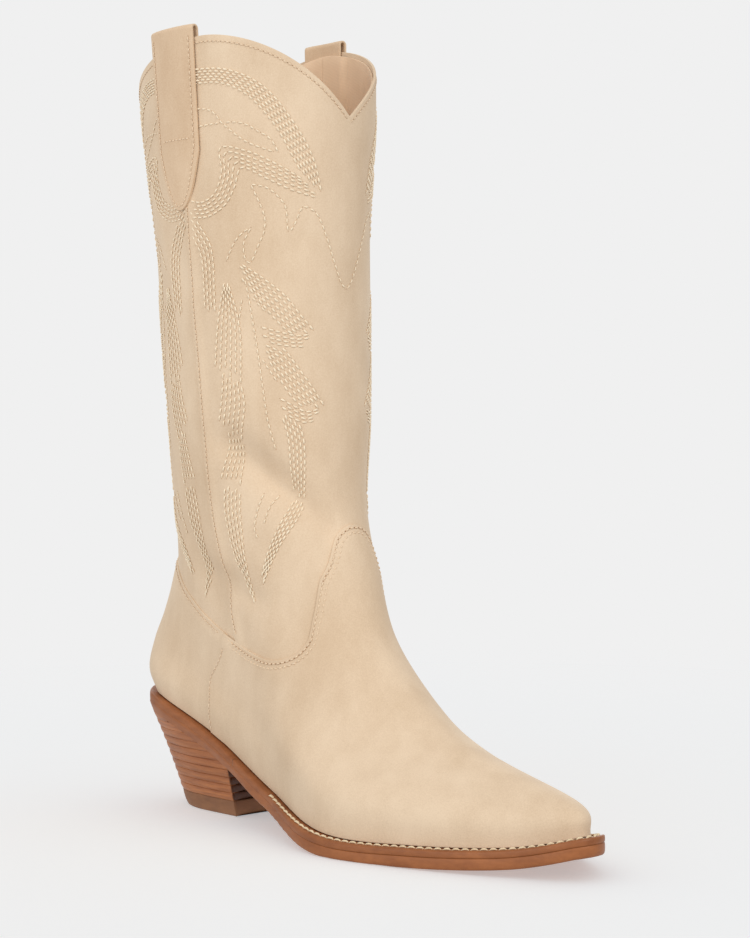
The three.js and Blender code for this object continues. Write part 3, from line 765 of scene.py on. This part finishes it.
def leg_sheet_grid(first, last, columns, rows, lowest):
    """Grids between two angles, from a depth under the foot's top edge up to the rim."""
    angle = np.repeat(np.linspace(first, last, columns)[None], rows, 0)
    bottom = row_at(angle[0], foot_top_height(angle[0]) - lowest)
    top = row_at(angle[0], rim_height(angle[0]))
    return angle, mix(bottom[None], top[None], np.linspace(0, 1, rows)[:, None])


def rim_row(first, last, down, **stitch):
    angle = np.linspace(first, last, 400)
    return upper_row(angle, row_at(angle, rim_height(angle) - down), **stitch)


SEAM_LAP = 0.85  # how far the front panel stands out over the back one at the side seams
TUCK = 0.5  # how far the back panel's edges dip under it
LINING_IN, POCKET_DEPTH = 1.5, 1.9
FINE = {"pitch": 2.6, "length": 1.9, "radius": 0.28}


def sew_embroidery():
    """Thread and needle holes on each quarter of the leg; gives the rows of the front and of the back."""
    panels = {}
    for part, back in (("front", False), ("back", True)):
        for side, inner in (("outer", False), ("inner", True)):
            rows = embroidery(back, inner)
            thread_piece(f"embroidery_{side}_{part}", rows, THREAD)
            hole_piece(f"needle_holes_{side}_{part}", rows)
            panels.setdefault(part, []).extend(rows)
    return panels


def sew_edges():
    """Rows along the rim, front and back, and down the side seams."""
    down, apart = 3.2, 0.6
    front = [rim_row(91, 180 - apart, down, **FINE), rim_row(180 + apart, 269, down, **FINE)]
    back = [rim_row(-89, -apart, down, **FINE), rim_row(apart, 89, down, **FINE)]
    z = np.linspace(92, 376, 300)
    seams = [upper_row(side, row_at(side, z), out=SEAM_LAP, **FINE) for side in (91.9, 268.1)]
    for name, rows in (("rim", front + back), ("side_seam", seams)):
        thread_piece(f"{name}_thread", rows, SEAM_THREAD)
        hole_piece(f"{name}_holes", rows, look=DEEP_PIT_SHADE)
    return front, back, seams


def leg():
    panels = sew_embroidery()
    front, back, seams = sew_edges()
    angle, v = leg_sheet_grid(90, 270, 176, 250, LAP)
    lap = SEAM_LAP * (1 - smooth(1.6, 7, np.minimum(angle - 90, 270 - angle)))
    sheet("leg_front_suede", angle, v, lap, SUEDE, ["shaft_front_panel"],
          pucker=puckers(panels["front"] + front + seams))
    angle, v = leg_sheet_grid(-92, 92, 160, 250, LAP)
    under = -TUCK * smooth(88.5, 90.5, np.abs(angle))
    sheet("leg_back_suede", angle, v, under, SUEDE, ["shaft_back_panel"],
          pucker=puckers(panels["back"] + back))
    for name, first in (("front", 90), ("back", -90)):
        angle, v = leg_sheet_grid(first, first + 180, 130, 110, LAP - 2)
        v = v - 0.03 * np.linspace(0, 1, 110)[:, None]
        out = -LINING_IN - POCKET_DEPTH * strap_pocket(angle, surface(angle, v)[..., 2])
        sheet(f"leg_{name}_lining", angle, v, out, LINING, [f"shaft_{name}_lining"], LINING_THICK)


# ---- vamp and counter
COUNTER_TOP = 3.44
VAMP_OUT = 1.45
COUNTER_LAP = 0.6  # how far the vamp stands out over the counter at their seam


def counter_seam(v):
    """Angle of the seam between counter and vamp on the outer side."""
    return 66.2 + 17.2 * np.clip(v / COUNTER_TOP, 0, 1.2) ** 1.75


def foot_grid(first, last, columns, rows):
    """Grids between two moving edges, from the sole to the foot's top edge."""
    t = np.linspace(0, 1, rows)[:, None]
    s = np.linspace(0, 1, columns)[None]
    v = t * COUNTER_TOP + 0 * s
    for _ in range(6):
        angle = mix(first(v), last(v), s)
        v = t * row_at(angle[-1], foot_top_height(angle[-1]))[None]
    return mix(first(v), last(v), s), v


def top_edge_rows(first, last, distances, skived, **stitch):
    """Rows at distances under the foot's top edge, where the suede is pared thinner."""
    angle = np.linspace(first, last, 500)
    v = row_at(angle, foot_top_height(angle))
    rows = []
    for d in distances:
        rows.append(upper_row(*shifted(angle, v, -d), out=VAMP_OUT - skived, **stitch))
    return rows


def sew_foot():
    """Two rows along the vamp's top edge, one along the counter's, and one down each of its seams."""
    fine = {"pitch": 2.8, "length": 1.9, "radius": 0.3}
    stout = {"pitch": 2.7, "length": 1.7, "radius": 0.36}
    corner = counter_seam(COUNTER_TOP)
    vamp = top_edge_rows(corner + 1.5, 360 - corner - 1.5, (1.8, 4.2), 0.25, **stout)
    counter = top_edge_rows(1 - corner, corner - 1, (2.2,), 0.55, **fine)
    v = np.linspace(0.05, COUNTER_TOP - 0.2, 200)
    for seam, aside in ((counter_seam(v), -2.0), (360 - counter_seam(v), 2.0)):
        vamp.append(upper_row(*shifted(seam, v, aside), out=VAMP_OUT + COUNTER_LAP - 0.05, **fine))
    thread_piece("vamp_thread", vamp, SEAM_THREAD)
    hole_piece("vamp_holes", vamp, 0.38, look=DEEP_PIT_SHADE)
    thread_piece("counter_thread", counter, SEAM_THREAD)
    hole_piece("counter_holes", counter, 0.3)
    return vamp, counter


def foot():
    vamp, counter = sew_foot()
    angle, v = foot_grid(counter_seam, lambda v: 360 - counter_seam(v), 300, 120)
    edge = np.minimum(angle - counter_seam(v), 360 - counter_seam(v) - angle)
    below = foot_top_height(angle) - surface(angle, v)[..., 2]
    lift = VAMP_OUT + COUNTER_LAP * (1 - smooth(1.5, 7, edge)) - 0.45 * smooth(6, 0, below)
    sheet("vamp_suede", angle, v, lift, SUEDE, ["vamp"], pucker=puckers(vamp, 0.12))
    angle, v = foot_grid(lambda v: -counter_seam(v) - 1.5, lambda v: counter_seam(v) + 1.5, 150, 80)
    under = np.maximum(np.abs(angle) - counter_seam(v), 0)
    below = foot_top_height(angle) - surface(angle, v)[..., 2]
    lift = VAMP_OUT - 0.45 * smooth(0, 1, under) - 0.75 * smooth(8, 0, below)
    sheet("counter_suede", angle, v, lift, SUEDE, ["counter"], pucker=puckers(counter, 0.1))


# ---- sole
def sole_rings(angles, profile):
    """Points of a section swept round the sole's edge; profile(angles) lists (offset, rise) in order."""
    points = np.stack([sole_point(angles, offset, rise) for offset, rise in profile(angles)])
    points[..., 2] = np.maximum(points[..., 2], 0)
    return points


def strip_piece(name, angles, node):
    """A closed strip of welt between two angles."""
    points = sole_rings(angles, welt_profile)
    rows, columns = points.shape[:2]
    last, top = columns - 1, (rows - 1) * columns
    faces = grid_faces(rows, columns)
    for i in range(columns, top, columns):
        faces += [(i, i + columns, 0), (last, i + columns + last, i + last)]
    faces += [(top + j, top + j + 1, j + 1, j) for j in range(last)]
    make_piece(name, points, faces, WELT, replaces=[node])


def groove(angle):
    """The groove between welt and outsole opens from the waist to the toe."""
    return 0.04 + 0.32 * smooth(100, 122, folded(angle))


def welt_profile(angle):
    """The rand's edge stands up a little behind the heel."""
    p, g = projection(angle), groove(angle)
    cup = 2.6 * smooth(48, 6, folded(angle))
    inside = np.full(angle.shape, -7.0)
    return [(inside, -0.45), (inside + 5.5, -0.45), (p - 1.2, -0.42 + 0.9 * cup), (p - 0.45, -0.5 + cup),
            (p - 0.08, -0.95 + cup), (p + 0.04, -1.8 + 0.5 * cup), (p + 0.04, -2.7), (p - 0.1 * g, -3.2),
            (p - 0.4 * g, -3.5), (p - g, -3.66), (p - g - 0.4, -3.7), (inside, -3.72)]


SEAT_LEAN = 1.5  # how far the sole's edge leans in above the heel


def outsole_profile(angle):
    """The lower corner is rounded where the sole is free, and leans in to meet the heel flush."""
    p, g = projection(angle), groove(angle)
    free = smooth(76, 84, folded(angle))
    lean = SEAT_LEAN * (1 - free)
    return [(p - g - 0.4, -3.7), (p - g, -3.72), (p - 0.4 * g, -3.86), (p - 0.1 * g, -4.15),
            (p + 0.05, -4.8), (p + 0.08 - 0.3 * lean, -6), (p + 0.03 - 0.62 * lean, -7.4),
            (p - 0.15 * free - 0.83 * lean, -8.3), (p - 0.6 * free - 0.96 * lean, -8.85),
            (p - 1.6 * free - lean, -SOLE_THICKNESS)]


def outsole_piece():
    """The outsole, with a fine milled edge where the shank comes free of the heel."""
    count = 360
    angles = np.arange(count) * 360 / count
    rings = sole_rings(angles, outsole_profile)
    milled = smooth(112, 96, folded(angles)) * smooth(84, 92, folded(angles))
    rings[-3:-1, :, 2] += 0.35 * milled * (np.sin(np.radians(angles) * 150) > 0)
    rows = len(rings)
    faces = grid_faces(rows, count, wrap=True)
    for start, turn in ((0, -1), ((rows - 1) * count, 1)):
        for j in range(count // 2):
            corners = (j, j + 1, (count - j - 1) % count, (count - j) % count)
            face = tuple(dict.fromkeys(start + corner for corner in corners))
            if len(face) > 2:
                faces.append(face[::turn])
    make_piece("outsole_leather", rings, faces, SOLE, replaces=["outsole"])


def sew_welt():
    """Slanted stitches on the welt, from waist to waist round the toe."""
    pitch, slant = 4.3, 0.2
    angle = np.linspace(91, 269, 900)
    place = sole_point(angle, np.full(900, 2.9), -0.4)
    run = run_along(place)
    at = np.arange(1, int(run[-1] / pitch)) * pitch
    behind, points, ahead = [np.stack([np.interp(at + d, run, place[:, c]) for c in range(3)], -1)
                             for d in (-0.5, 0, 0.5)]
    way = unit(ahead - behind)
    ups = unit(np.cross(np.cross(way, (0, 0, 1)), way))
    ways = unit(way * math.cos(slant) + np.cross(ups, way) * math.sin(slant))
    row = Row(points, ways, ups, pitch, 3.7, 0.62)
    thread_piece("welt_thread", [row], WELT_THREAD)
    hole_piece("welt_holes", [row], 0.55)


def sole():
    outsole_piece()
    strip_piece("welt_strip", np.linspace(77.3, 282.7, 420), "welt")
    strip_piece("heel_rand_strip", np.linspace(-77.2, 77.2, 260), "heel_rand")
    sew_welt()


# ---- heel
HEEL_TOP_Z, HEEL_TOP_ANGLE = 48, 71
HEEL_BACK, HEEL_CURVE, HEEL_BREAST, HEEL_HALF_WIDTH, CURVE_SHARE = 19, 32, 75.3, 19.7, 0.55
TOP_LIFT_HEIGHT, LIFT_PITCH, LIFTS = 7.7, 4, 9


def heel_side(share, side, z):
    """Outline of one side of the heel at a height: share 0 is the middle of the back, 1 the breast."""
    angle = HEEL_TOP_ANGLE * share
    top = sole_point(angle if side < 0 else 360 - angle, projection(angle) - SEAT_LEAN, 0)
    t = np.minimum(share / CURVE_SHARE, 1) * np.pi / 2
    straight = np.maximum((share - CURVE_SHARE) / (1 - CURVE_SHARE), 0)
    x = mix(HEEL_BACK + HEEL_CURVE * (1 - np.cos(t)), HEEL_BREAST, straight)
    foot_end = np.stack([x, side * HEEL_HALF_WIDTH * np.sin(t), 0 * x], -1)
    level = min(z / HEEL_TOP_Z, 1)
    flush = np.clip(z / np.minimum(under_sole(top[..., 0]), HEEL_TOP_Z), 0, 1)
    p = mix(foot_end, top, mix(level, flush, smooth(1, 0.7, share))[..., None])
    p[..., 2] = z
    return p


def under_sole(x):
    """Height of the outsole's lower face."""
    return feather_height(x) - SOLE_THICKNESS


def heel_outline(z, end):
    """Closed outline: round the back from breast to breast, then a slightly hollow front."""
    share = np.linspace(end, 0, 60)
    outer, inner = heel_side(share, -1, z), heel_side(share[::-1], 1, z)
    t = np.linspace(0, 1, 22)[1:-1, None]
    front = mix(inner[-1], outer[0], t)
    front[:, 0] -= 1.8 * (1 - (2 * t[:, 0] - 1) ** 4)
    return np.concatenate([outer, inner[1:], front])


def inward(outline, distance):
    """The outline moved in by a distance at each point."""
    way = np.roll(outline, -1, 0) - np.roll(outline, 1, 0)
    side = unit(np.stack([-way[:, 1], way[:, 0], 0 * way[:, 0]], -1))
    middle = outline.mean(0) - outline
    side *= np.where((side * middle).sum(-1, keepdims=True) > 0, 1, -1)
    return outline + side * distance


def lift_piece(name, low, high, bulge, material, node):
    """One layer of the heel with a bulging edge, cut off under the outsole where it reaches it."""
    shares = np.linspace(0.3, 1, 300)
    room = under_sole(heel_side(shares, -1, low)[:, 0]) - low
    end = shares[room > 0.35][-1]
    lower = [(0, 1.4), (0, 0.42), (0.1, 0.2), (0.3, 0)]
    edge = lower + [(0.5, -bulge)] + [(1 - share, inset) for share, inset in reversed(lower)]
    rings = []
    for share, inset in edge:
        ring = heel_outline(mix(low, high, share), end)
        plain = (inset < 1) * smooth(8, 1, under_sole(ring[:, 0]) - ring[:, 2])[:, None]
        ring = inward(ring, inset * (1 - 0.8 * plain))
        ring[:, 2] = np.minimum(ring[:, 2], under_sole(ring[:, 0]) + 0.1)
        rings.append(ring)
    rows, columns = len(rings), len(rings[0])
    faces = grid_faces(rows, columns, wrap=True)
    faces += [tuple(range(columns))[::-1], tuple(range((rows - 1) * columns, rows * columns))]
    make_piece(name, rings, faces, material, replaces=[node])


def heel():
    chance = np.random.default_rng(7)
    lift_piece("top_lift_rubber", 0, TOP_LIFT_HEIGHT + 0.2, 0.05, TOP_LIFT, "top_lift")
    for n in range(1, LIFTS + 2):
        low = TOP_LIFT_HEIGHT + 0.25 + LIFT_PITCH * (n - 1)
        node = f"heel_lift_{n}" if n <= LIFTS else "heel_seat_lift"
        high = low + LIFT_PITCH - 0.02 if n <= LIFTS else HEEL_TOP_Z + 2
        look = heel_look(0.94 + 0.14 * chance.random())
        bulge = 0.05 + 0.12 * chance.random()
        lift_piece(f"stacked_lift_{n}", low, high, bulge, look, node)


# ---- pull straps
def strap_tip(across):
    """Height of the rounded outer tip; across is -1 to 1 over the strap's width."""
    return STRAP_TIP + STRAP_RISE * np.abs(across) ** STRAP_POWER


def strap_path(t, across):
    """Height, distance and turn over the arch: t is 0 at the outer tip and 1 at the end inside."""
    rise = np.clip(t / ARCH_START, 0, 1)
    arch = np.clip((t - ARCH_START) / (ARCH_END - ARCH_START), 0, 1) * np.pi
    fall = np.clip((t - ARCH_END) / (1 - ARCH_END), 0, 1)
    z = mix(strap_tip(across), LOOP_SHOULDER, rise) + (LOOP_TOP - LOOP_SHOULDER) * np.sin(arch)
    z = np.where(t > ARCH_END, mix(LOOP_SHOULDER, STRAP_END, fall), z)
    return z, mix(STRAP_IN, STRAP_OUT, (1 + np.cos(arch)) / 2), arch


def strap_points(t, across, depth, side):
    """Points on the strap; depth 0 is its face and 1 its back."""
    z, distance, arch = strap_path(t, across)
    angle = STRAP_MID[side] + STRAP_HALF[side] * across
    v = row_at(angle, z)
    p = surface(angle, v) + normals(angle, v) * (distance - STRAP_THICK * depth * np.cos(arch))[..., None]
    p[..., 2] = z - STRAP_THICK * depth * np.sin(arch) * 0.9
    if side == "inner":
        p = p * (1, -1, 1) + (0, 0, INNER_STRAP_RISE)
    return p


def strap_row(z, across, side, pitch, **stitch):
    """A row of stitches on the face of the strap, along heights and shares of its width."""
    tip = strap_tip(across)
    t = ARCH_START * (z - tip) / (LOOP_SHOULDER - tip)
    run = run_along(strap_points(t, across, 0, side))
    at = np.arange(1, int(run[-1] / pitch)) * pitch

    def on(distance, depth=0.0):
        where = np.clip(distance, 0, run[-1])
        return strap_points(np.interp(where, run, t), np.interp(where, run, across), depth, side)
    points = on(at)
    return Row(points, unit(on(at + 0.5) - on(at - 0.5)), unit(points - on(at, 0.3)), pitch, **stitch)


def strap_rows(side):
    """A row up one edge, round the tip and down the other edge, and one across."""
    fine = {"pitch": 2.7, "length": 1.9, "radius": 0.3}
    inset, count = 0.84, 160
    turn = np.linspace(-1, 1, count)
    tip = strap_tip(turn) + 2
    edge = np.linspace(tip[-1], LOOP_SHOULDER - 0.5, count)[1:]
    beside = np.ones(count - 1)
    z = np.concatenate([edge[::-1], tip, edge])
    across = inset * np.concatenate([-beside, turn, beside])
    bar = np.linspace(-0.93, 0.93, 80)
    return [strap_row(z, across, side, **fine), strap_row(np.full(80, 332.0), inset * bar, side, **fine)]


def strap_band(side):
    """The strap's leather: two faces joined round their edges."""
    rows, columns = 150, 33
    t, across = np.meshgrid(np.linspace(0, 1, rows), np.linspace(-1, 1, columns), indexing="ij")
    dome = 0.18 * np.abs(across) ** 6
    face, back = strap_points(t, across, dome, side), strap_points(t, across, 1 - dome, side)
    count = rows * columns
    points = np.stack([face, back])
    faces = grid_faces(rows, columns) + [f[::-1] for f in grid_faces(rows, columns, count)]
    last = (rows - 1) * columns
    for j in range(columns - 1):
        k = last + j
        faces += [(j, j + count, j + 1 + count, j + 1), (k, k + 1, k + 1 + count, k + count)]
    for a in range(0, last, columns):
        b, c = a + columns, a + columns - 1
        faces += [(a, b, b + count, a + count), (c, c + count, c + columns + count, c + columns)]
    if side == "inner":
        faces = [f[::-1] for f in faces]
    nodes = [f"{side}_strap_{part}" for part in ("tail", "loop", "end")]
    piece = make_piece(f"{side}_pull_strap", points, faces, STRAP_SUEDE, None, nodes)
    round_edges(piece, 0.4, 50)
    return piece


def strap(side):
    band, rows = strap_band(side), strap_rows(side)
    threads = thread_piece(f"{side}_strap_thread", rows, SEAM_THREAD, None)
    holes = hole_piece(f"{side}_strap_holes", rows, body=None, look=DEEP_PIT_SHADE)
    for soft in (band, threads, holes):
        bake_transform(soft)


# ---- pieces kept from the CAD model
def dress_inside():
    looks = [
        (LINING, "vamp_lining heel_lining"), (BOARD, "toe_puff heel_stiffener insole_board seat_filler"),
        (CORK, "forefoot_filler"), (SOCK, "sock_lining"), (STEEL, "shank heel_screw"),
        (BRASS, "heel_nail_1 heel_nail_2 heel_nail_3 heel_nail_4"),
    ]
    for look, names in looks:
        for name in names.split():
            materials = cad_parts[name].data.materials
            materials.clear()
            materials.append(look)


# ---- floor and light
BACKDROP = srgb(240, 240, 240)
ROOM_LIGHT, ROOM_TINT = 0.59, (1, 0.99, 0.98, 1)
# The floor glows a little, and fades into the backdrop between two distances in metres.
FLOOR_RADIUS, FLOOR_SINK, FLOOR_FADE = 3.0, 0.0003, (0.22, 1.0)
FLOOR_COLOUR, FLOOR_TINT, FLOOR_GLOW = (0.87, 0.87, 0.87, 1), (0.96, 1, 1.035, 1), 0.355


def floor():
    bpy.ops.mesh.primitive_circle_add(vertices=96, radius=FLOOR_RADIUS, fill_type="NGON",
                                      location=(0, 0, -FLOOR_SINK))
    disc = bpy.context.object
    disc.name = "floor"
    look = Look("floor", FLOOR_COLOUR, 0.9, Specular_IOR_Level=0.0, Emission_Color=FLOOR_TINT,
                Emission_Strength=FLOOR_GLOW)
    far = look.nodes.new("ShaderNodeVectorMath")
    far.operation = "LENGTH"
    look.links.new(look.place, far.inputs[0])
    fade = look.ranged(far.outputs["Value"], FLOOR_FADE, (1, 0))
    fade.node.interpolation_type = "SMOOTHSTEP"
    look.links.new(fade, look.shader.inputs["Alpha"])
    disc.data.materials.append(look.material)
    disc.visible_diffuse = False
    return disc


# Name, the way the light goes, its angle across and its strength.
SUNS = [("key", (-0.95, 0.15, -0.65), 22, 1.06), ("front", (-0.05, 1.0, -0.15), 60, 1.15),
        ("back", (0.8, -0.7, -0.5), 60, 0.85)]


def sun(name, way, angle, power, unlit):
    """A soft sun that leaves the objects of the unlit collection alone."""
    data = bpy.data.lights.new(name, "SUN")
    data.energy = power
    data.angle = math.radians(angle)
    light = bpy.data.objects.new(name, data)
    bpy.context.scene.collection.objects.link(light)
    light.rotation_euler = Vector(way).to_track_quat("-Z", "Y").to_euler()
    light.light_linking.receiver_collection = unlit


def studio(ground):
    """An even pale room that lights the boot less than it shows, and soft suns on the boot alone."""
    world = bpy.data.worlds.new("studio")
    world.use_nodes = True
    nodes, links = world.node_tree.nodes, world.node_tree.links
    seen = nodes["Background"]
    seen.inputs["Color"].default_value = BACKDROP
    room = nodes.new("ShaderNodeBackground")
    room.inputs["Color"].default_value = ROOM_TINT
    room.inputs["Strength"].default_value = ROOM_LIGHT
    choose = nodes.new("ShaderNodeMixShader")
    links.new(nodes.new("ShaderNodeLightPath").outputs["Is Camera Ray"], choose.inputs["Fac"])
    links.new(room.outputs[0], choose.inputs[1])
    links.new(seen.outputs[0], choose.inputs[2])
    links.new(choose.outputs[0], nodes["World Output"].inputs["Surface"])
    bpy.context.scene.world = world
    bpy.context.scene.view_settings.view_transform = "Standard"
    unlit = bpy.data.collections.new("lit_by_the_room_only")
    unlit.objects.link(ground)
    unlit.collection_objects[0].light_linking.link_state = "EXCLUDE"
    for name, way, angle, power in SUNS:
        sun(name, way, angle, power, unlit)


leg()
foot()
sole()
heel()
strap("outer")
strap("inner")
dress_inside()
studio(floor())
